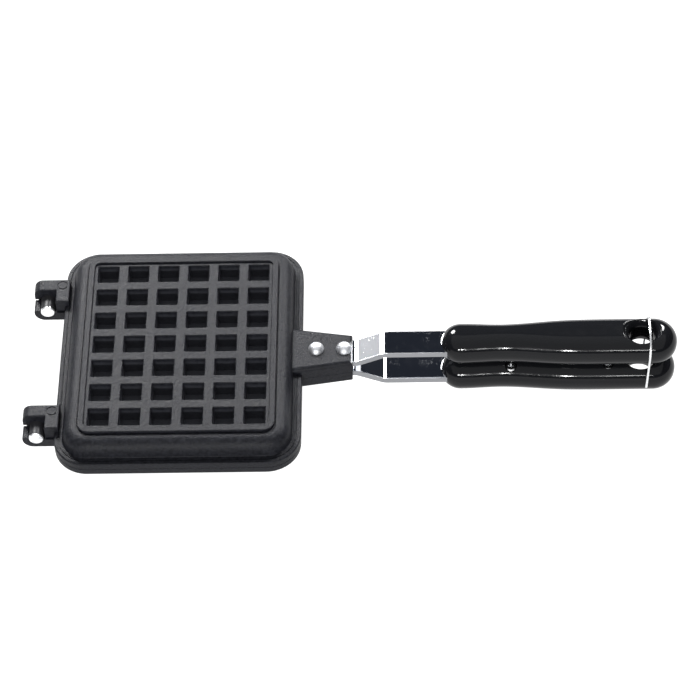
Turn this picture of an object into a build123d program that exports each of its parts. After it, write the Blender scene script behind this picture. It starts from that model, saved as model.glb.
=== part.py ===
from build123d import *
import os
from math import atan2, cos, hypot, radians, sin, tan

# Stovetop waffle maker: two cast plates that close on each other, hinged at the left by pins in open
# hooks. Each plate has a stub with a riveted steel strip, a moulded grip at the strip's end, and the
# lower grip carries a wire ring that swings over both grips.
# Millimetres. +X runs along the handle, +Y away from the front, +Z up. The origin is on the surface
# that the pan lies on, under the middle of its bounding box. Places along X are from the plates'
# centre unless a comment says otherwise, and heights are from the parting plane between the halves.

# Waffle grid
columns = 6
rows = 7
cell_pitch = 16.5
pocket_mouth = 11.2
pocket_depth = 9.2
pocket_draft = 4.0
pocket_corner = 0.5
mouth_chamfer = 0.35
peg_draft = 6.0
peg_corner = 1.6
peg_floor = 2.0
pocket_wall = 1.0

# Plate, from the grid outwards and upwards
grid_height = 14.2
plate_wall = 2.0
rim_gap = 2.0
rim_width = 3.1
rim_rise = 1.1
rim_corner = 6.2
rim_round = 0.4
rim_groove_width = 0.6
rim_groove_depth = 0.5
shoulder_rise = -0.5
slope_width = 8.8
slope_angle = 10.0
slope_round = 6.5
foot_width = 2.35
foot_round = 0.5
groove_width = 0.4
groove_depth = 0.5
ledge_width = 2.2
ledge_height = 4.2
plate_corner = 18.3
ledge_round = 0.8
seam_chamfer = 0.15
parting_gap = 0.1
seal_band = 5.8
hollow_angle = 25.0

# Handle stub on each plate
stub_length = 27.1
stub_height = 7.9
stub_root_width = 28.6
stub_end_width = 20.2
stub_round = 2.4
stub_bury = 5.4

# Steel strip
strip_width = 15.2
strip_thickness = 3.5
strip_rise = 3.9
strip_inset = 1.5
strip_side_gap = 0.15
bend_run = 15.0
bend_radius = 8.0
bend_clear = 0.4
strip_bare = 47.6
strip_corner = 3.0

# Rivets through stub and strip, placed from the plate's edge
rivets_from_edge = {"inner": 7.7, "outer": 22.7}
rivet_shank_radius = 2.0
rivet_hole_gap = 0.05
rivet_head_radius = 4.3
rivet_dome = 3.5
rivet_tail_radius = 3.4
rivet_tail = 1.2

# Moulded grips: waist, swell and back are shares of the grip's length
grip_length = 126.6
grip_half_gap = 1.0
grip_height = 19.6
grip_round = 9.4
grip_start_width = 21.4
grip_waist_width = 19.8
grip_waist_share = 0.255
grip_swell_width = 23.5
grip_swell_share = 0.46
grip_end_width = 25.3
grip_back_share = 0.74
tang_from_end = 30.0
tang_gap = 0.1

# Hanging hole: a round neck that flares to a mouth at each face, and the angle of its wall there
hang_hole_from_end = 19.0
hang_hole_radius = 7.0
flare_reach = 3.5
flare_depth = 6.06
flare_angle = 60.0
mouth_round = 0.4

# Grip screws, set off the centre line as the recesses in the photo are
screw_from_start = 37.7
screw_from_tang_end = 6.6
screw_offset = 4.8
screw_radius = 1.5
screw_hole_gap = 0.05
screw_head_radius = 2.8
screw_head_height = 2.0
screw_head_round = 0.7
screw_recess_radius = 3.3
screw_recess_depth = 4.0
screw_past_strip = 4.0
screw_tip_gap = 0.5
screw_cross_length = 3.2
screw_cross_width = 0.8
screw_cross_depth = 1.0

# Hinges: pin axis 10 mm outside the plate's edge, both hinges the same hand
hinge_reach = 10.0
hinge_inset = 29.7
pin_radius = 4.1
pin_running_gap = 0.06
pin_chamfer = 0.5
arm_back = 7.6
arm_width = 7.45
arm_wall = 3.4
arm_bottom = 0.6
arm_over_pin = 4.2
arm_round = 5.0
boss_wall = 1.5
block_past_pin = 0.9
block_bury = 2.3
block_length = 15.6
lug_round = 0.6
mark_radius = 3.0
mark_width = 0.6
mark_depth = 0.4
mark_place = (8.3, 3.4)
hook_back = -1.15
hook_front = -9.0
hook_wall = 3.1
hook_floor = 2.2
hook_top = 1.5
hook_right_top = 0.5
hook_round_less = 0.7
hook_bury = 5.2
hook_edge = 0.9

# Lock ring
wire_radius = 0.65
ring_from_end = 16.1
ring_drop = 1.5
ring_lean = 1.5
ring_gap = 0.25
ring_swing_gap = 0.2
ring_foot_corner = 1.2
ring_foot_depth = 2.4
ring_running_gap = 0.05
ring_socket_gap = 0.3

# Worked out from the values above
field_x = (columns - 1) * cell_pitch + pocket_mouth
field_y = (rows - 1) * cell_pitch + pocket_mouth
ceiling = grid_height - plate_wall
shoulder_height = grid_height + shoulder_rise
pocket_floor = grid_height - pocket_depth
peg_tip = pocket_floor - peg_floor
peg_tip_width = pocket_mouth - 2 * pocket_depth * tan(radians(pocket_draft)) + 2 * pocket_wall
frame_width = rim_gap + rim_width + slope_width + foot_width + ledge_width
plate_half_x = field_x / 2 + frame_width
plate_half_y = field_y / 2 + frame_width

# Handle, from the plate's edge outwards
grip_rise = grip_height / 2 + grip_half_gap
stub_end = plate_half_x + stub_length
bend_half_angle = atan2(grip_rise - strip_rise, bend_run) / 2
bend_start = stub_end + bend_clear + bend_radius * tan(bend_half_angle)
grip_start = stub_end + strip_bare
grip_end = grip_start + grip_length
grip_waist_place = grip_start + grip_waist_share * grip_length
grip_swell_place = grip_start + grip_swell_share * grip_length
grip_back_place = grip_start + grip_back_share * grip_length
strip_start = plate_half_x + strip_inset
strip_end = grip_end - tang_from_end
hang_hole_place = grip_end - hang_hole_from_end
ring_place = grip_end - ring_from_end
rivet_places = {place: plate_half_x + x for place, x in rivets_from_edge.items()}
screw_places = {"inner": grip_start + screw_from_start, "outer": strip_end - screw_from_tang_end}
grip_top = grip_rise + grip_height / 2
grip_inner = grip_rise - grip_height / 2
flare_out = sin(radians(flare_angle))
flare_down = -cos(radians(flare_angle))
screw_tip = grip_rise + strip_thickness / 2 + screw_past_strip

# Hinges, from the pin outwards
hinge_x = -(plate_half_x + hinge_reach)
hinge_y = plate_half_y - hinge_inset
hinge_centres = {"front": -hinge_y, "back": hinge_y}
arm_left = pin_radius + arm_wall
arm_height = pin_radius + arm_over_pin
boss_radius = pin_radius + boss_wall
block_left = pin_radius + block_past_pin
block_right = hinge_reach + block_bury
hook_left = pin_radius + hook_wall
hook_bottom = pin_radius + hook_floor
hook_round = hook_bottom - hook_round_less
hook_right = hinge_reach + hook_bury

# The bounding box's middle and lowest point are the origin
plate_x = -(grip_end + hinge_x - arm_left) / 2
parting_z = grip_top

# The ring's top bar clears the rounded far end of the upper grip all the way round its pivots
ring_foot = grip_end_width / 2 - ring_foot_depth
ring_leg = grip_end_width / 2 + ring_gap + wire_radius
ring_height = grip_rise + ring_drop
far_x = grip_end - grip_round - ring_place
far_z = grip_top - grip_round + ring_height
ring_reach = hypot(far_x, far_z) + grip_round + ring_swing_gap + wire_radius
ring_corner = grip_round + ring_gap + wire_radius

# The parting plane as each half sees it: its normal points out of that half
above = Plane(origin=(plate_x, 0, parting_z))
below = Plane(origin=(plate_x, 0, parting_z), x_dir=(1, 0, 0), z_dir=(0, 0, -1))
halves = {"upper": above, "lower": below}


def upright(half, y=0):
    """Upright plane along the handle at a place across it: X stays, its Y is out of the half."""
    return Plane(origin=half.from_local_coords((0, y, 0)), x_dir=half.x_dir, z_dir=-half.y_dir)


def framed(beyond_field, corner, mode=Mode.ADD):
    """Rounded rectangle round the waffle grid, so far beyond the outer pockets."""
    RectangleRounded(field_x + 2 * beyond_field, field_y + 2 * beyond_field, corner, mode=mode)


def outward(half):
    """Axis that points out of a half from its parting plane."""
    return Axis(half.origin, half.z_dir)


def shell(half):
    """The cast shell of one plate: ledge, groove, slope, rim, hollow, pegs and pockets."""
    rim_out = rim_gap + rim_width
    slope_foot = rim_out + slope_width
    crease = slope_foot + foot_width
    edge = crease + ledge_width
    crease_corner = plate_corner - ledge_width
    pocket_chamfered = pocket_mouth + 2 * mouth_chamfer
    with BuildPart() as plate:
        with BuildSketch(half.offset(parting_gap)):
            framed(edge, plate_corner)
        extrude(amount=ledge_height - parting_gap)
        low, high = plate.faces().filter_by(outward(half)).sort_by(outward(half))
        fillet(high.edges(), ledge_round)
        chamfer(low.edges(), seam_chamfer)
        with BuildSketch(half.offset(ledge_height)):
            framed(slope_foot, crease_corner - foot_width)
        extrude(amount=shoulder_height - ledge_height, taper=slope_angle)
        foot = plate.edges(Select.LAST).group_by(outward(half))[0]
        fillet(foot, foot_round)
        top = plate.faces().filter_by(outward(half)).sort_by(outward(half))[-1]
        fillet(top.edges(), slope_round)
        with BuildSketch(half.offset(ledge_height)):
            framed(crease, crease_corner)
            framed(crease - groove_width, crease_corner - groove_width, mode=Mode.SUBTRACT)
        extrude(amount=-groove_depth, mode=Mode.SUBTRACT)
        with BuildSketch(half.offset(shoulder_height)):
            framed(rim_out, rim_corner)
        extrude(amount=rim_rise - shoulder_rise)
        with BuildSketch(half.offset(grid_height)):
            framed(rim_gap, rim_corner - rim_width)
        extrude(amount=rim_rise, mode=Mode.SUBTRACT)
        top = plate.faces().filter_by(outward(half)).sort_by(outward(half))[-1]
        fillet(top.edges(), rim_round)
        with BuildSketch(half.offset(shoulder_height)):
            framed(rim_out + rim_groove_width, rim_corner + rim_groove_width)
            framed(rim_out, rim_corner, mode=Mode.SUBTRACT)
        extrude(amount=-rim_groove_depth, mode=Mode.SUBTRACT)
        with BuildSketch(half):
            framed(edge - seal_band, plate_corner - seal_band)
        extrude(amount=ceiling, taper=hollow_angle, mode=Mode.SUBTRACT)
        with BuildSketch(half.offset(peg_tip)):
            with GridLocations(cell_pitch, cell_pitch, columns, rows):
                RectangleRounded(peg_tip_width, peg_tip_width, peg_corner)
        extrude(amount=ceiling - peg_tip + parting_gap, taper=-peg_draft)
        with BuildSketch(half.offset(grid_height)):
            with GridLocations(cell_pitch, cell_pitch, columns, rows):
                RectangleRounded(pocket_mouth, pocket_mouth, pocket_corner)
        extrude(amount=-pocket_depth, taper=pocket_draft, mode=Mode.SUBTRACT)
        with BuildSketch(half.offset(grid_height)):
            with GridLocations(cell_pitch, cell_pitch, columns, rows):
                RectangleRounded(pocket_chamfered, pocket_chamfered, pocket_corner + mouth_chamfer)
        extrude(amount=-mouth_chamfer, taper=45, mode=Mode.SUBTRACT)
    return plate.part


def stub(half):
    """Handle stub of one plate, open towards the parting plane, where the strip lies."""
    root_x = plate_half_x - stub_bury
    end_half = stub_end_width / 2
    widen = (stub_root_width - stub_end_width) / 2 / (stub_end - plate_half_x)
    root_half = end_half + widen * (stub_end - root_x)
    with BuildPart() as piece:
        with BuildSketch(half.offset(parting_gap)):
            with BuildLine():
                Polyline(
                    (root_x, root_half),
                    (stub_end, end_half),
                    (stub_end, -end_half),
                    (root_x, -root_half),
                    close=True,
                )
            make_face()
        extrude(amount=stub_height - parting_gap)
        top = piece.faces().filter_by(outward(half)).sort_by(outward(half))[-1]
        far = top.edges().sort_by(Axis.X)[1:]
        fillet(far, stub_round)
        channel = strip_width + 2 * strip_side_gap
        with BuildSketch(half.offset(parting_gap)):
            with Locations((strip_start - strip_side_gap, 0)):
                Rectangle(stub_end, channel, align=(Align.MIN, Align.CENTER))
        roof = strip_rise + strip_thickness / 2
        extrude(amount=roof - parting_gap, mode=Mode.SUBTRACT)
        with BuildSketch(half):
            with Locations(*[(x, 0) for x in rivet_places.values()]):
                Circle(rivet_shank_radius + rivet_hole_gap)
        extrude(amount=stub_height, mode=Mode.SUBTRACT)
    return piece.part


def hinge_plane(y):
    """Upright plane through the hinge axis at a place across the plates, its normal to the front."""
    return Plane(origin=(plate_x + hinge_x, y, parting_z), x_dir=(1, 0, 0), z_dir=(0, -1, 0))


def arm(centre):
    """Upper plate's hinge arm: a flat bar on the back side with a boss round the pin, and its block."""
    with BuildPart() as piece:
        with BuildSketch(hinge_plane(centre + arm_back)):
            with Locations(((block_right - arm_left) / 2, (arm_bottom + arm_height) / 2)):
                bar = Rectangle(block_right + arm_left, arm_height - arm_bottom)
            fillet(bar.vertices().sort_by(Axis.X)[:2].sort_by(Axis.Y)[-1], arm_round)
            Circle(boss_radius)
        extrude(amount=arm_width)
        with BuildSketch(hinge_plane(centre + arm_back)):
            with Locations(((block_left + block_right) / 2, (parting_gap + arm_height) / 2)):
                Rectangle(block_right - block_left, arm_height - parting_gap)
        extrude(amount=block_length)
        top = piece.faces().filter_by(Axis.Z).sort_by(Axis.Z)[-1]
        fillet(top.edges().filter_by(GeomType.LINE), lug_round)
        with BuildSketch(above.offset(arm_height)):
            with Locations((hinge_x + mark_place[0], centre + mark_place[1])):
                Circle(mark_radius)
                Circle(mark_radius - mark_width, mode=Mode.SUBTRACT)
        extrude(amount=-mark_depth, mode=Mode.SUBTRACT)
        with BuildSketch(hinge_plane(centre + arm_back)):
            Circle(pin_radius)
        extrude(amount=arm_width, mode=Mode.SUBTRACT)
    return piece.part


def hook(centre):
    """Lower plate's hinge hook: a cradle, open on top, that the pin lies in."""
    bore = pin_radius + pin_running_gap
    with BuildPart() as piece:
        with BuildSketch(hinge_plane(centre + hook_back)):
            with Locations((-hook_left, -hook_bottom)):
                Rectangle(hook_left, hook_bottom + hook_top, align=Align.MIN)
                Rectangle(hook_left + hook_right, hook_bottom - hook_right_top, align=Align.MIN)
            bottom_left = vertices().sort_by(Axis.X)[:2].sort_by(Axis.Y)[0]
            fillet(bottom_left, hook_round)
            top_left = vertices().sort_by(Axis.Y)[-2:].sort_by(Axis.X)[0]
            fillet(top_left, hook_edge)
            Circle(bore, mode=Mode.SUBTRACT)
            with Locations((0, hook_top)):
                Rectangle(2 * bore, 2 * hook_top, mode=Mode.SUBTRACT)
        extrude(amount=hook_back - hook_front)
    return piece.part


def strip(half):
    """Steel strip of one half: flat in the stub, bent outwards, then flat in the grip."""
    side = upright(half)
    with BuildPart() as piece:
        with BuildLine(side) as run:
            FilletPolyline(
                (strip_start, strip_rise),
                (bend_start, strip_rise),
                (bend_start + bend_run, grip_rise),
                (strip_end, grip_rise),
                radius=bend_radius,
            )
        with BuildSketch(Plane(run.line @ 0, x_dir=half.y_dir, z_dir=run.line % 0)):
            Rectangle(strip_width, strip_thickness)
        sweep()
        corners = piece.edges().filter_by(Axis.Z).sort_by(Axis.X)[-2:]
        fillet(corners, strip_corner)
        with BuildSketch(half):
            with Locations(*[(x, 0) for x in rivet_places.values()]):
                Circle(rivet_shank_radius + rivet_hole_gap)
            with Locations(*[(x, screw_offset) for x in screw_places.values()]):
                Circle(screw_radius + screw_hole_gap)
        extrude(amount=grip_top, mode=Mode.SUBTRACT)
    return piece.part


def rivet(half, x):
    """Rivet with a domed head on the stub and a flat tail under the strip."""
    tail_top = strip_rise - strip_thickness / 2
    dome_radius = (rivet_head_radius**2 + rivet_dome**2) / (2 * rivet_dome)
    with BuildPart() as piece:
        with BuildSketch(upright(half)):
            with BuildLine():
                foot = (x, tail_top - rivet_tail)
                Polyline(
                    (x, stub_height + rivet_dome),
                    foot,
                    (x + rivet_tail_radius, tail_top - rivet_tail),
                    (x + rivet_tail_radius, tail_top),
                    (x + rivet_shank_radius, tail_top),
                    (x + rivet_shank_radius, stub_height),
                    (x + rivet_head_radius, stub_height),
                )
                RadiusArc((x + rivet_head_radius, stub_height), (x, stub_height + rivet_dome), -dome_radius)
            make_face()
        revolve(axis=Axis(half.from_local_coords((x, 0, 0)), half.z_dir))
    return piece.part


def grip(half):
    """Moulded grip: rounded all over, slotted for the strip, with a hanging hole and screw recesses."""
    start_radius = grip_start_width / 2
    end_radius = grip_end_width / 2
    swell = [
        (grip_start + start_radius, start_radius),
        (grip_waist_place, grip_waist_width / 2),
        (grip_swell_place, grip_swell_width / 2),
        (grip_back_place, end_radius),
    ]
    with BuildPart() as piece:
        with BuildSketch(half.offset(grip_rise)):
            with BuildLine():
                CenterArc((grip_start + start_radius, 0), start_radius, 90, 90)
                Spline(*swell, tangents=((1, 0), (1, 0)))
                Line(swell[-1], (grip_end - end_radius, end_radius))
                CenterArc((grip_end - end_radius, 0), end_radius, 0, 90)
                mirror(about=Plane.XZ)
            make_face()
        extrude(amount=grip_height / 2, both=True)
        flats = piece.faces().filter_by(outward(half)).sort_by(outward(half))
        fillet(flats[0].edges() + flats[-1].edges(), grip_round)
        with BuildSketch(half.offset(grip_rise - strip_thickness / 2)):
            with Locations((grip_start, 0)):
                slot_length = strip_end + tang_gap - grip_start
                Rectangle(slot_length, strip_width + 2 * tang_gap, align=(Align.MIN, Align.CENTER))
        extrude(amount=strip_thickness, mode=Mode.SUBTRACT)
        neck = hang_hole_place + hang_hole_radius
        mouth = neck + flare_reach
        into_neck = (0, -1)
        with BuildSketch(upright(half)):
            with BuildLine():
                Polyline(
                    (mouth, grip_inner),
                    (mouth, grip_inner - flare_depth),
                    (hang_hole_place, grip_inner - flare_depth),
                    (hang_hole_place, grip_top + flare_depth),
                    (mouth, grip_top + flare_depth),
                    (mouth, grip_top),
                )
                neck_top = (neck, grip_top - flare_depth)
                neck_bottom = (neck, grip_inner + flare_depth)
                Spline((mouth, grip_top), neck_top, tangents=((-flare_out, flare_down), into_neck))
                Line(neck_top, neck_bottom)
                Spline(neck_bottom, (mouth, grip_inner), tangents=(into_neck, (flare_out, flare_down)))
            make_face()
        revolve(axis=Axis(half.from_local_coords((hang_hole_place, 0, 0)), half.z_dir), mode=Mode.SUBTRACT)
        curves = piece.edges(Select.LAST).filter_by(GeomType.BSPLINE)
        seams = curves.filter_by_position(Axis.Y, -mouth_round, mouth_round)
        fillet(curves - seams, mouth_round)
        screw_spots = [(x, screw_offset) for x in screw_places.values()]
        with BuildSketch(half):
            with Locations(*screw_spots):
                Circle(screw_recess_radius)
        extrude(amount=grip_inner + screw_recess_depth, mode=Mode.SUBTRACT)
        with BuildSketch(half):
            with Locations(*screw_spots):
                Circle(screw_radius + screw_hole_gap)
        extrude(amount=screw_tip + screw_tip_gap, mode=Mode.SUBTRACT)
    return piece.part


def screw(half, x):
    """Pan head screw from the grip's inner side, through the strip, with a plain cross in its head."""
    seat = grip_inner + screw_recess_depth
    with BuildPart() as piece:
        with BuildSketch(half.offset(seat - screw_head_height)):
            with Locations((x, screw_offset)):
                Circle(screw_head_radius)
        extrude(amount=screw_head_height)
        face = piece.faces().filter_by(outward(half)).sort_by(outward(half))[0]
        fillet(face.edges(), screw_head_round)
        with BuildSketch(half.offset(seat)):
            with Locations((x, screw_offset)):
                Circle(screw_radius)
        extrude(amount=screw_tip - seat)
        with BuildSketch(half.offset(seat - screw_head_height)):
            with Locations((x, screw_offset)):
                Rectangle(screw_cross_length, screw_cross_width)
                Rectangle(screw_cross_width, screw_cross_length)
        extrude(amount=screw_cross_depth, mode=Mode.SUBTRACT)
    return piece.part


def hinge_pin(centre):
    """Pin from the back of the arm to the front face of the hook."""
    with BuildPart() as piece:
        with BuildSketch(hinge_plane(centre + arm_back)):
            Circle(pin_radius)
        extrude(amount=arm_back - hook_front)
        chamfer(piece.edges(), pin_chamfer)
    return piece.part


def save(part, name):
    """Label a finished piece and write it as its own file."""
    part.label = name
    export_step(part, f"parts/{name}.step")
    print(name, "volume", round(part.volume, 1), "solids", len(part.solids()), "valid", part.is_valid)


os.makedirs("parts", exist_ok=True)

# Plates
with BuildPart() as upper_plate:
    add(shell(above))
    add(stub(above))
    for centre in hinge_centres.values():
        add(arm(centre))
save(upper_plate.part, "upper_plate")

with BuildPart() as lower_plate:
    add(shell(below))
    add(stub(below))
    for centre in hinge_centres.values():
        add(hook(centre))
save(lower_plate.part, "lower_plate")

for place, centre in hinge_centres.items():
    save(hinge_pin(centre), f"hinge_pin_{place}")

# Handles
for name, half in halves.items():
    save(strip(half), f"{name}_strip")
    for place, x in rivet_places.items():
        save(rivet(half, x), f"{name}_rivet_{place}")
    for place, x in screw_places.items():
        save(screw(half, x), f"{name}_screw_{place}")

save(grip(above), "upper_grip")

with BuildPart() as lower_grip:
    add(grip(below))
    socket_floor = grip_end_width / 2 - ring_foot_depth - ring_socket_gap
    for side in (1, -1):
        with BuildSketch(upright(below, side * socket_floor)):
            with Locations((ring_place, grip_rise + ring_drop)):
                Circle(wire_radius + ring_running_gap)
        extrude(amount=-side * grip_end_width, mode=Mode.SUBTRACT)
save(lower_grip.part, "lower_grip")

# Lock ring, leaning a little outwards over the grips
lean = radians(ring_lean)
ring_plane = Plane(
    origin=(plate_x + ring_place, 0, parting_z - grip_rise - ring_drop),
    x_dir=(0, 1, 0),
    z_dir=(cos(lean), 0, -sin(lean)),
)
with BuildPart() as lock_ring:
    with BuildLine(ring_plane) as wire:
        FilletPolyline(
            (-ring_foot, 0),
            (-ring_leg, 0),
            (-ring_leg, ring_reach),
            (ring_leg, ring_reach),
            (ring_leg, 0),
            (ring_foot, 0),
            radius=[ring_foot_corner, ring_corner, ring_corner, ring_foot_corner],
        )
    with BuildSketch(Plane(wire.line @ 0, x_dir=ring_plane.z_dir, z_dir=wire.line % 0)):
        Circle(wire_radius)
    sweep()
save(lock_ring.part, "lock_ring")
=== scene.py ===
"""Looks of the stovetop waffle maker: a finish for every CAD node, the photograph's camera and a white table."""
import logging
from dataclasses import dataclass
from enum import Enum
from math import cos, pi, radians, sin

import bpy
from mathutils import Matrix, Vector


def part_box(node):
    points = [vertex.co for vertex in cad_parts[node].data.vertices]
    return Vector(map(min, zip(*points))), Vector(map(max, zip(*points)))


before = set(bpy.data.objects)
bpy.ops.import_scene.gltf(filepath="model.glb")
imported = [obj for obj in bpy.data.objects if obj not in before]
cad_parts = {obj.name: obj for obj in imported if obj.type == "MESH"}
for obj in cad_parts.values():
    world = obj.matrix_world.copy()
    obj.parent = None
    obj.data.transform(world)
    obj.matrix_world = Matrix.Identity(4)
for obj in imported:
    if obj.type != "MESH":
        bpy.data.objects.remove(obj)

MM = 0.001
PHOTO_PIXELS = 700
SENSOR_MM = 36.0
GRID_CENTRE = (-91.9 * MM, 0.0, 34.8 * MM)
PARTING = 20.6 * MM
FIELD = (94.0 * MM, 110.5 * MM)
NOISE_MIDDLE = 0.5

log = logging.getLogger("waffle_maker")
Colour = tuple[float, float, float]
Span = tuple[float, float]


class Side(Enum):
    """The half of the pan that a piece belongs to."""

    UPPER = "upper"
    LOWER = "lower"


class Place(Enum):
    """A fastener's place along its strip: nearer the hinge or nearer the grip's end."""

    INNER = "inner"
    OUTER = "outer"


class Finish(Enum):
    """The finishes that several nodes share, by the names of their materials."""

    CASTING = "coated_casting"
    CHROME = "mirror_steel"
    GRIP = "moulded_grip"
    RIVET = "rivet_metal"
    WIRE = "ring_wire"
    SCREW = "screw_metal"


class Socket:
    """One output socket of a node tree, with arithmetic that adds Math nodes.

    Args:
        bench: The node bench whose tree the socket belongs to.
        output: The Blender output socket.
    """

    def __init__(self, bench: "NodeBench", output: bpy.types.NodeSocket) -> None:
        self.bench = bench
        self.output = output

    def _math(self, operation: str, first: "Socket | float", second: "Socket | float") -> "Socket":
        """Adds one Math node for two values and returns its result."""
        return self.bench.add("ShaderNodeMath", {"operation": operation}, {0: first, 1: second})

    def __add__(self, other: "Socket | float") -> "Socket":
        """Sum with a socket or number."""
        return self._math("ADD", self, other)

    def __radd__(self, other: float) -> "Socket":
        """Sum with a number on the left."""
        return self._math("ADD", other, self)

    def __sub__(self, other: "Socket | float") -> "Socket":
        """Difference from a socket or number."""
        return self._math("SUBTRACT", self, other)

    def __rsub__(self, other: float) -> "Socket":
        """A number less this value."""
        return self._math("SUBTRACT", other, self)

    def __mul__(self, other: "Socket | float") -> "Socket":
        """Product with a socket or number."""
        return self._math("MULTIPLY", self, other)

    def __rmul__(self, other: float) -> "Socket":
        """Product with a number on the left."""
        return self._math("MULTIPLY", other, self)

    def __truediv__(self, other: "Socket | float") -> "Socket":
        """Quotient by a socket or number."""
        return self._math("DIVIDE", self, other)

    def __gt__(self, other: "Socket | float") -> "Socket":
        """One where this value is the greater, else zero."""
        return self._math("GREATER_THAN", self, other)

    def __lt__(self, other: "Socket | float") -> "Socket":
        """One where this value is the smaller, else zero."""
        return self._math("LESS_THAN", self, other)

    def at_least(self, other: "Socket | float") -> "Socket":
        """The larger of this value and another."""
        return self._math("MAXIMUM", self, other)


class NodeBench:
    """Builds the node tree of one material.

    Args:
        name: The material's name.
    """

    def __init__(self, name: str) -> None:
        self.material = bpy.data.materials.new(name)
        self.material.use_nodes = True
        self.tree = self.material.node_tree
        self.tree.nodes.clear()
        self.output = self.tree.nodes.new("ShaderNodeOutputMaterial")

    def add(
        self,
        kind: str,
        settings: dict[str, object] | None = None,
        inputs: dict[int | str, object] | None = None,
        output: int | str = 0,
    ) -> Socket:
        """Adds any node.

        Args:
            kind: Blender's node type.
            settings: Attributes of the node, set before its sockets. A ramp's stops go under "stops".
            inputs: A value or Socket for each named or numbered input.
            output: The output to return.

        Returns:
            The chosen output as a Socket.
        """
        node = self.tree.nodes.new(kind)
        for key, value in (settings or {}).items():
            if key == "stops":
                self._set_stops(node.color_ramp, value)
            else:
                setattr(node, key, value)
        for key, value in (inputs or {}).items():
            if isinstance(value, Socket):
                self.tree.links.new(value.output, node.inputs[key])
            else:
                node.inputs[key].default_value = value
        return Socket(self, node.outputs[output])

    @staticmethod
    def _set_stops(ramp: bpy.types.ColorRamp, stops: list[Span]) -> None:
        """Sets a new ramp's two stops from pairs of place and grey value."""
        for element, (place, grey) in zip(ramp.elements, stops, strict=True):
            element.position = place
            element.color = (grey, grey, grey, 1.0)

    def place(self) -> Socket:
        """The point's place in the object's own frame, in metres."""
        return self.add("ShaderNodeTexCoord", output="Object")

    def axes(self) -> tuple[Socket, ...]:
        """The point's X, Y and Z in metres, as three sockets."""
        parted = self.add("ShaderNodeSeparateXYZ", inputs={0: self.place()})
        return tuple(Socket(self, output) for output in parted.output.node.outputs)

    def noise(self, size: float, detail: float = 2.0, rough: float = 0.5, stretch: Vector | None = None) -> Socket:
        """Fractal noise whose grains are about so large.

        Args:
            size: Grain size in metres.
            detail: Octaves of finer noise.
            rough: Weight of each finer octave.
            stretch: How much longer the grains are along each axis.

        Returns:
            The noise value, from 0 to 1.
        """
        place = self.place()
        if stretch is not None:
            scale = tuple(1.0 / s for s in stretch)
            place = self.add("ShaderNodeMapping", inputs={"Vector": place, "Scale": scale})
        inputs = {"Vector": place, "Scale": 1.0 / size, "Detail": detail, "Roughness": rough}
        return self.add("ShaderNodeTexNoise", inputs=inputs, output="Fac")

    def rise(self, value: Socket, span: Span) -> Socket:
        """Rises in a straight line from zero at a span's start to one at its end."""
        return self.add("ShaderNodeValToRGB", {"stops": list(zip(span, (0.0, 1.0)))}, {"Fac": value})

    def blend(self, factor: Socket, first: "Socket | Colour", second: "Socket | Colour") -> Socket:
        """Colour between two, by a factor."""
        settings = {"data_type": "RGBA", "clamp_factor": True}
        pair = [end if isinstance(end, Socket) else (*end, 1.0) for end in (first, second)]
        return self.add("ShaderNodeMix", settings, {0: factor, 6: pair[0], 7: pair[1]}, output=2)

    def bump(self, height: Socket, depth: float, strength: float) -> Socket:
        """Surface normal bent by a height field.

        Args:
            height: Height, from 0 to 1.
            depth: Metres from 0 to 1.
            strength: Share of the effect.

        Returns:
            The bent normal.
        """
        return self.add("ShaderNodeBump", inputs={"Height": height, "Distance": depth, "Strength": strength})

    def surface(self, inputs: dict[str, object]) -> bpy.types.Material:
        """Ends the tree in one Principled shader.

        Args:
            inputs: A value or Socket for each of the shader's inputs.

        Returns:
            The finished material.
        """
        shader = self.add("ShaderNodeBsdfPrincipled", inputs=inputs)
        self.tree.links.new(shader.output, self.output.inputs["Surface"])
        return self.material


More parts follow.
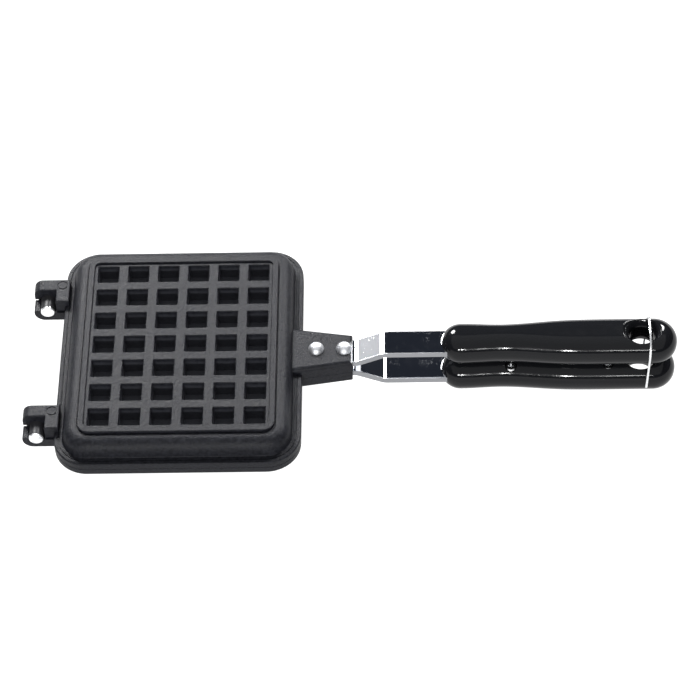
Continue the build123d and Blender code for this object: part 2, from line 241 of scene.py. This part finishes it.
@dataclass(frozen=True)
class CoatedCasting:
    """Black non-stick coating on cast aluminium: fine sandy grain with a soft sheen, matt, and lighter grey in the
    pockets as painted fill light.

    Args:
        base: Colour of the coat between the flecks.
        grain_tint: Colour of the flecks.
        pocket_fill_light: Colour of the painted fill light at the pockets' floors.
        grain: Size of the grain.
        grain_depth: Depth of the grain.
        relief: Share of the grain's depth that bends the normal.
        flecks: Grain values between which a fleck comes in.
        fleck_share: Weight of the flecks in the colour.
        cloud: Size of the clouds.
        cloud_share: Weight of the clouds in the colour.
        roughness: Mean roughness.
        grain_roughness: Change of roughness with the grain.
        cloud_roughness: Change of roughness with the clouds.
        gloss: Specular level.
        mouth: Height from the parting plane at which the painted fill light in the pockets starts.
        floor: Height of the pockets' floors from the parting plane.
        underside: Share of that height below which the pegs' ends begin.
    """

    base: Colour = (0.001, 0.0011, 0.002)
    grain_tint: Colour = (0.014, 0.0148, 0.019)
    pocket_fill_light: Colour = (0.046, 0.048, 0.056)
    grain: float = 1.5 * MM
    grain_depth: float = 0.45 * MM
    relief: float = 0.8
    flecks: Span = (0.36, 0.66)
    fleck_share: float = 0.7
    cloud: float = 14 * MM
    cloud_share: float = 0.25
    roughness: float = 0.45
    grain_roughness: float = 0.7
    cloud_roughness: float = 0.10
    gloss: float = 0.12
    mouth: float = 13.0 * MM
    floor: float = 5.5 * MM
    underside: float = 0.85

    def build(self) -> bpy.types.Material:
        """Makes the material.

        Returns:
            The coated casting's material.
        """
        bench = NodeBench(Finish.CASTING.value)
        grain = bench.noise(self.grain, 4.0, 0.7)
        cloud = bench.noise(self.cloud, 4.0)
        flecks = bench.rise(grain, self.flecks)
        tint = flecks * self.fleck_share + cloud * self.cloud_share
        coat = bench.blend(tint, self.base, self.grain_tint)
        rough = (
            self.roughness
            + (grain - NOISE_MIDDLE) * self.grain_roughness
            + (cloud - NOISE_MIDDLE) * self.cloud_roughness
        )
        return bench.surface({
            # Painted light: the pockets' colour turns lighter grey towards their floors, standing in for light
            # reaching into them.
            "Base Color": bench.blend(self._pocket_fill_light_mask(bench), coat, self.pocket_fill_light),
            "Roughness": rough,
            "Specular IOR Level": self.gloss,
            "Normal": bench.bump(grain, self.grain_depth, self.relief),
        })

    def _pocket_fill_light_mask(self, bench: NodeBench) -> Socket:
        """Mask of the painted fill light: rises from zero at the pockets' mouths to one at their floors, and is
        zero at the pegs' ends under them.

        Args:
            bench: The material's node bench.

        Returns:
            The mask, from 0 to 1.
        """
        along, across, height = bench.axes()
        u, v, w = along - GRID_CENTRE[0], across - GRID_CENTRE[1], height - PARTING
        in_field = (u * u < (FIELD[0] / 2)**2) * (v * v < (FIELD[1] / 2)**2)
        deep = (self.mouth**2 - w * w) / (self.mouth**2 - self.floor**2)
        outside = w * w > (self.underside * self.floor)**2
        return in_field * deep.at_least(0.0) * outside


@dataclass(frozen=True)
class MirrorSteel:
    """Chromed flat steel: a mirror with fine scratches, faint smears and a few scuffs, duller on its cut edges and
    darker there, partly the cut steel's own tone and partly painted shade.

    Args:
        base: Colour of the polished faces.
        sheared_shaded: Colour of the cut edges: the cut steel's own duller tone, darkened further with painted
            shade of the shadowed table they reflect.
        edge: Distance of the sheared edges from the strip's middle plane.
        edge_roughness: Added roughness of the sheared edges.
        roughness: Roughness of the polished faces.
        scratch: Width of the scratches.
        scratch_length: Their length, as a multiple of the width.
        scratch_roughness: Added roughness of the scratches.
        scratch_depth: Their depth.
        relief: Share of that depth that bends the normal.
        smear: Size of the smears.
        smears: Noise values between which a smear comes in.
        smear_roughness: Added roughness of the smears.
        curl: Size of the scuffs' curls.
        curl_width: Half width of a scuff's line, in noise values.
        patch: Size of the patches that hold scuffs.
        patch_level: Noise value above which a patch begins.
        scuff_roughness: Added roughness of the scuffs.
    """

    base: Colour = (0.80, 0.815, 0.85)
    sheared_shaded: Colour = (0.28, 0.285, 0.30)
    edge: float = 7.3 * MM
    edge_roughness: float = 0.25
    roughness: float = 0.035
    scratch: float = 0.35 * MM
    scratch_length: float = 30.0
    scratch_roughness: float = 0.03
    scratch_depth: float = 0.001 * MM
    relief: float = 0.5
    smear: float = 9 * MM
    smears: Span = (0.55, 0.8)
    smear_roughness: float = 0.04
    curl: float = 6 * MM
    curl_width: float = 0.003
    patch: float = 11 * MM
    patch_level: float = 0.58
    scuff_roughness: float = 0.12

    def build(self) -> bpy.types.Material:
        """Makes the material.

        Returns:
            The strips' material.
        """
        bench = NodeBench(Finish.CHROME.value)
        scratches = bench.noise(self.scratch, 2.0, 0.6, Vector((self.scratch_length, 1.0, 1.0)))
        smears = bench.rise(bench.noise(self.smear, 3.0, 0.55), self.smears)
        _, across, _ = bench.axes()
        # Mask of the cut edges: it dulls them and carries their painted shade.
        edge_and_shade = (across * across) > self.edge**2
        rough = (
            self.roughness
            + smears * self.smear_roughness
            + scratches * self.scratch_roughness
            + edge_and_shade * self.edge_roughness
            + self._scuffs(bench) * self.scuff_roughness
        )
        return bench.surface({
            # Painted shade: the cut edges take a darker colour, partly the steel's own and partly standing in for
            # the shadowed table they reflect.
            "Base Color": bench.blend(edge_and_shade, self.base, self.sheared_shaded),
            "Metallic": 1.0,
            "Roughness": rough,
            "Normal": bench.bump(scratches, self.scratch_depth, self.relief),
        })

    def _scuffs(self, bench: NodeBench) -> Socket:
        """Thin curled lines where one noise is near its middle, inside the patches where another is high.

        Args:
            bench: The material's node bench.

        Returns:
            One on a scuff, else zero.
        """
        curl = bench.noise(self.curl, 3.0, 0.6) - NOISE_MIDDLE
        patch = bench.noise(self.patch, 1.0) > self.patch_level
        return (curl * curl < self.curl_width**2) * patch


@dataclass(frozen=True)
class BrightMetal:
    """Bare bright metal of small fasteners and wire, faintly grained and stained.

    Args:
        finish: Which of the metals it is.
        base: Colour of the clean metal.
        roughness: Mean roughness.
        grain: Size of the grain.
        grain_depth: Depth of the grain and dents.
        grain_roughness: Change of roughness with the grain.
        dent: Size of the dents, in grains.
        dent_share: Weight of the dents in the relief, the rest being grain.
        relief: Share of the depth that bends the normal.
        stains: Dent values between which a stain comes in.
        stain_share: Strength of the stains.
        stain_shade: Brightness of a stain, as a share of the clean metal's.
    """

    finish: Finish
    base: Colour = (0.86, 0.87, 0.88)
    roughness: float = 0.18
    grain: float = 0.5 * MM
    grain_depth: float = 0.01 * MM
    grain_roughness: float = 0.12
    dent: float = 4.0
    dent_share: float = 0.6
    relief: float = 0.7
    stains: Span = (0.45, 0.7)
    stain_share: float = 0.35
    stain_shade: float = 0.5

    def build(self) -> bpy.types.Material:
        """Makes the material.

        Returns:
            The metal's material.
        """
        bench = NodeBench(self.finish.value)
        grain = bench.noise(self.grain, 3.0)
        dents = bench.noise(self.dent * self.grain, 2.0)
        stained = tuple(self.stain_shade * part for part in self.base)
        stain = bench.rise(dents, self.stains) * self.stain_share
        relief = grain * (1.0 - self.dent_share) + dents * self.dent_share
        return bench.surface({
            "Base Color": bench.blend(stain, self.base, stained),
            "Metallic": 1.0,
            "Roughness": self.roughness + (grain - NOISE_MIDDLE) * self.grain_roughness,
            "Normal": bench.bump(relief, self.grain_depth, self.relief),
        })


@dataclass(frozen=True)
class PinSteel:
    """Hinge pin: black coated barrel, with its front end ground bare.

    Args:
        bare_end: Place across the pan up to which the front end is bare.
        coat: Colour of the coat.
        bare: Colour of the ground end.
        scratched: Colour of its scratches.
        scratch: Width of the scratches.
        scratch_length: Their length, as a multiple of the width.
        scratches: Noise values between which a scratch comes in.
        roughness: Mean roughness of the coat.
        end_polish: How much smoother the bare end is.
        grain: Size of the grain.
        grain_roughness: Change of roughness with the grain.
        ripple: Size of the ripples.
        depth: Depth of grain and ripples.
        relief: Share of that depth that bends the normal.
        gloss: Specular level.
    """

    bare_end: float
    coat: Colour = (0.02, 0.02, 0.022)
    bare: Colour = (0.86, 0.87, 0.88)
    scratched: Colour = (0.42, 0.43, 0.45)
    scratch: float = 0.9 * MM
    scratch_length: float = 4.0
    scratches: Span = (0.55, 0.7)
    roughness: float = 0.38
    end_polish: float = 0.04
    grain: float = 0.5 * MM
    grain_roughness: float = 0.15
    ripple: float = 0.9 * MM
    depth: float = 0.02 * MM
    relief: float = 0.6
    gloss: float = 0.12

    def build(self, name: str) -> bpy.types.Material:
        """Makes the material.

        Args:
            name: The material's name.

        Returns:
            The pin's material.
        """
        bench = NodeBench(name)
        _, across, _ = bench.axes()
        end = across < self.bare_end
        grain = bench.noise(self.grain, 3.0)
        ripples = bench.noise(self.ripple, 2.0)
        lines = bench.noise(self.scratch, 2.0, 0.6, Vector((self.scratch_length, 1.0, 1.0)))
        face = bench.blend(bench.rise(lines, self.scratches), self.bare, self.scratched)
        return bench.surface({
            "Base Color": bench.blend(end, self.coat, face),
            "Metallic": end,
            "Roughness": self.roughness - end * self.end_polish + (grain - NOISE_MIDDLE) * self.grain_roughness,
            "Specular IOR Level": self.gloss,
            "Normal": bench.bump((grain + ripples) * 0.5, self.depth, self.relief),
        })


@dataclass(frozen=True)
class MouldedGrip:
    """Glossy black moulding with faint handling marks.

    Args:
        base: Colour of the moulding.
        roughness: Roughness of its clean surface.
        smear: Size of the handling marks.
        smears: Noise values between which a mark comes in.
        smear_roughness: Added roughness of the marks.
        fine: Size of the fine grain.
        fine_roughness: Change of roughness with the fine grain.
        depth: Depth of the waves in the surface.
        relief: Share of that depth that bends the normal.
        gloss: Specular level.
    """

    base: Colour = (0.005, 0.0053, 0.0062)
    roughness: float = 0.09
    smear: float = 7 * MM
    smears: Span = (0.45, 0.8)
    smear_roughness: float = 0.06
    fine: float = 0.6 * MM
    fine_roughness: float = 0.02
    depth: float = 0.01 * MM
    relief: float = 0.2
    gloss: float = 0.16

    def build(self) -> bpy.types.Material:
        """Makes the material.

        Returns:
            The grips' material.
        """
        bench = NodeBench(Finish.GRIP.value)
        waves = bench.noise(self.smear, 4.0, 0.6)
        fine = bench.noise(self.fine, 2.0)
        rough = (
            self.roughness
            + bench.rise(waves, self.smears) * self.smear_roughness
            + (fine - NOISE_MIDDLE) * self.fine_roughness
        )
        return bench.surface({
            "Base Color": (*self.base, 1.0),
            "Roughness": rough,
            "Specular IOR Level": self.gloss,
            "Normal": bench.bump(waves, self.depth, self.relief),
        })


def make_finishes() -> dict[Finish, bpy.types.Material]:
    """Makes the shared materials once.

    Returns:
        The material of each shared finish.
    """
    rivet = BrightMetal(Finish.RIVET, (0.50, 0.51, 0.53), 0.50, grain_depth=0.001 * MM)
    return {
        Finish.CASTING: CoatedCasting().build(),
        Finish.CHROME: MirrorSteel().build(),
        Finish.GRIP: MouldedGrip().build(),
        Finish.RIVET: rivet.build(),
        Finish.WIRE: BrightMetal(Finish.WIRE, roughness=0.22).build(),
        Finish.SCREW: BrightMetal(Finish.SCREW, roughness=0.25).build(),
    }


def dress(node: str, material: bpy.types.Material) -> None:
    """Gives a CAD node one material all over.

    Args:
        node: The CAD node's name.
        material: The finish.
    """
    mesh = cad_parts[node].data
    mesh.materials.clear()
    mesh.materials.append(material)
    log.info("dressed %s with %s", node, material.name)


@dataclass(frozen=True)
class PanHalf:
    """One half of the pan: casting, strip, grip, two rivets and two screws.

    Args:
        side: Which half it is.
    """

    side: Side

    def dress(self, finishes: dict[Finish, bpy.types.Material]) -> None:
        """Gives each piece of the half its finish.

        Args:
            finishes: The shared materials.
        """
        half = self.side.value
        dress(f"{half}_plate", finishes[Finish.CASTING])
        dress(f"{half}_strip", finishes[Finish.CHROME])
        dress(f"{half}_grip", finishes[Finish.GRIP])
        for place in Place:
            dress(f"{half}_rivet_{place.value}", finishes[Finish.RIVET])
            dress(f"{half}_screw_{place.value}", finishes[Finish.SCREW])


@dataclass(frozen=True)
class Hinge:
    """The two hinge pins, each bare at its front end.

    Args:
        pins: The pins' nodes.
        bare_length: Length of the bare end.
    """

    pins: tuple[str, ...] = ("hinge_pin_front", "hinge_pin_back")
    bare_length: float = 0.6 * MM

    def dress(self) -> None:
        """Gives each pin its own steel, because its bare end lies at its own place."""
        for pin in self.pins:
            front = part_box(pin)[0].y
            dress(pin, PinSteel(front + self.bare_length).build(f"{pin}_steel"))


@dataclass(frozen=True)
class LockRing:
    """The wire ring that holds the pan shut.

    Args:
        node: The ring's node.
    """

    node: str = "lock_ring"

    def dress(self, finishes: dict[Finish, bpy.types.Material]) -> None:
        """Gives the ring its wire."""
        dress(self.node, finishes[Finish.WIRE])


@dataclass
class PhotoCamera:
    """Camera of the photograph, from a fit to the corners of the 42 pockets.

    Args:
        target: The middle of the waffle grid on its top face.
        pitch: Distance from pocket to pocket, the unit of the offset and distance.
        focal_pixels: Focal length in the photograph's pixels.
        elevation: Degrees above the floor.
        azimuth: Degrees from straight in front, to the right.
        roll: Degrees about the line of sight.
        offset: Place of the target right of and above the frame's middle.
        distance: Distance from the target.
    """

    target: Vector
    pitch: float = 16.5 * MM
    focal_pixels: float = 2836.47
    elevation: float = 50.64
    azimuth: float = 1.934
    roll: float = -2.254
    offset: Span = (-5.532, 0.219)
    distance: float = 92.316

    def build(self) -> None:
        """Makes the camera and makes it the scene's own."""
        lift, turn, roll = (radians(a) for a in (self.elevation, self.azimuth, self.roll))
        back = Vector((sin(turn) * cos(lift), -cos(turn) * cos(lift), sin(lift)))
        right = Vector((cos(turn), sin(turn), 0.0))
        up = back.cross(right)
        right, up = cos(roll) * right + sin(roll) * up, cos(roll) * up - sin(roll) * right
        place = self.target + self.pitch * (self.distance * back - self.offset[0] * right - self.offset[1] * up)
        data = bpy.data.cameras.new("photo_camera")
        data.sensor_width = SENSOR_MM
        data.lens = SENSOR_MM * self.focal_pixels / PHOTO_PIXELS
        camera = bpy.data.objects.new("photo_camera", data)
        axes = Matrix((right, up, back)).transposed()
        camera.matrix_world = Matrix.Translation(place) @ axes.to_4x4()
        bpy.context.scene.collection.objects.link(camera)
        bpy.context.scene.camera = camera


@dataclass(frozen=True)
class Softbox:
    """Rectangular soft light, placed by its direction from the middle of the pan.

    Args:
        name: The light's name.
        turn: Degrees from straight behind the pan, to the right.
        lift: Degrees above the floor.
        distance: Metres from the pan.
        size: Width and height in metres.
        radiance: Brightness of its face.
    """

    name: str
    turn: float
    lift: float
    distance: float
    size: Span
    radiance: float

    def build(self) -> None:
        """Makes the light, pointing at the pan."""
        turn, lift = radians(self.turn), radians(self.lift)
        way = Vector((sin(turn) * cos(lift), cos(turn) * cos(lift), sin(lift)))
        data = bpy.data.lights.new(self.name, "AREA")
        data.shape = "RECTANGLE"
        data.size, data.size_y = self.size
        data.energy = self.radiance * pi * self.size[0] * self.size[1]
        lamp = bpy.data.objects.new(self.name, data)
        lamp.location = way * self.distance
        lamp.rotation_euler = way.to_track_quat("Z", "Y").to_euler()
        bpy.context.scene.collection.objects.link(lamp)


@dataclass(frozen=True)
class Studio:
    """White table under soft lights in a dark room.

    Args:
        floor_size: Width of the table.
        floor_glow: Brightness that the table has by itself.
        floor_tint: Colour of the table under the lights.
        floor_roughness: Roughness of the table.
        room: Colour of the room around.
        lights: The soft lights.
    """

    floor_size: float = 30.0
    floor_glow: float = 1.05
    floor_tint: Colour = (0.12, 0.12, 0.12)
    floor_roughness: float = 0.9
    room: Colour = (0.017, 0.020, 0.028)
    lights: tuple[Softbox, ...] = (
        Softbox("behind_left", -29.0, 38.0, 1.2, (0.34, 0.36), 80.0),
        Softbox("behind_right", 28.5, 39.0, 1.5, (0.30, 0.42), 86.0),
        Softbox("panel_left", -46.0, 27.0, 1.5, (0.26, 0.26), 0.68),
        Softbox("overhead", 180.0, 68.0, 1.5, (3.6, 3.2), 0.85),
        Softbox("front_left", 190.0, 19.0, 1.8, (0.30, 0.12), 170.0),
        Softbox("front_middle", 177.0, 19.0, 1.8, (0.045, 0.16), 420.0),
        Softbox("front_right", 170.5, 19.0, 1.8, (0.06, 0.12), 60.0),
    )

    def build(self) -> None:
        """Makes the floor, the lights and the surroundings."""
        self._build_floor()
        for light in self.lights:
            light.build()
        world = bpy.data.worlds.new("room")
        world.use_nodes = True
        shade = world.node_tree.nodes["Background"]
        shade.inputs["Color"].default_value = (*self.room, 1.0)
        bpy.context.scene.world = world
        bpy.context.scene.view_settings.view_transform = "Standard"

    def _build_floor(self) -> None:
        """Makes the white floor under the pan."""
        half = self.floor_size / 2
        corners = [(-half, -half, 0.0), (half, -half, 0.0), (half, half, 0.0), (-half, half, 0.0)]
        mesh = bpy.data.meshes.new("floor")
        mesh.from_pydata(corners, [], [(0, 1, 2, 3)])
        mesh.materials.append(NodeBench("white_table").surface({
            "Base Color": (*self.floor_tint, 1.0),
            "Roughness": self.floor_roughness,
            "Emission Color": (1.0, 1.0, 1.0, 1.0),
            "Emission Strength": self.floor_glow,
        }))
        floor = bpy.data.objects.new("floor", mesh)
        bpy.context.scene.collection.objects.link(floor)


def main() -> None:
    """Dresses the pan, then makes the camera and the studio."""
    logging.basicConfig(level=logging.INFO, format="%(name)s: %(message)s")
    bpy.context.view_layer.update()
    finishes = make_finishes()
    for side in Side:
        PanHalf(side).dress(finishes)
    Hinge().dress()
    LockRing().dress(finishes)
    PhotoCamera(Vector(GRID_CENTRE)).build()
    Studio().build()


if __name__ == "__main__":
    main()
